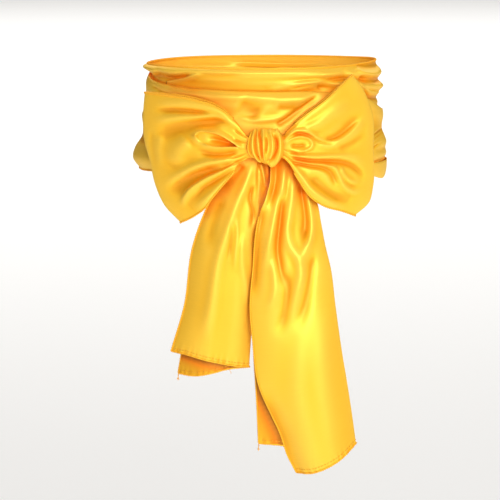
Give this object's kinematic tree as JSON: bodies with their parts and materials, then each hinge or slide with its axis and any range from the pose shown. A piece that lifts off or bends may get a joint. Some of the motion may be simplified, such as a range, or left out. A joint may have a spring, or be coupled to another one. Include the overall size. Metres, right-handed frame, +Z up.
{
  "type": "satin sash",
  "caption": "Satin sash in its worn form, wound round an open waist and tied in front in a large bow with a pleated knot and hanging tails.",
  "frame": {"origin": "centre of the waist hollow, at the level where the wearer's waist holds the sash", "axes": "+Z up, along the wearer; the bow faces -Y; +X is to the right seen from the front"},
  "size_m": [0.2702, 0.2308, 0.4211],
  "materials": {
    "satin": "bright yellow satin, glossy and smooth"
  },
  "bodies": {
    "root": {"turn_upper": "satin", "turn_lower": "satin", "side_swag": "satin", "bow_loop_left": "satin", "bow_loop_right": "satin", "bow_knot": "satin", "tail_left": "satin", "tail_right": "satin"}
  },
  "joints": []
}
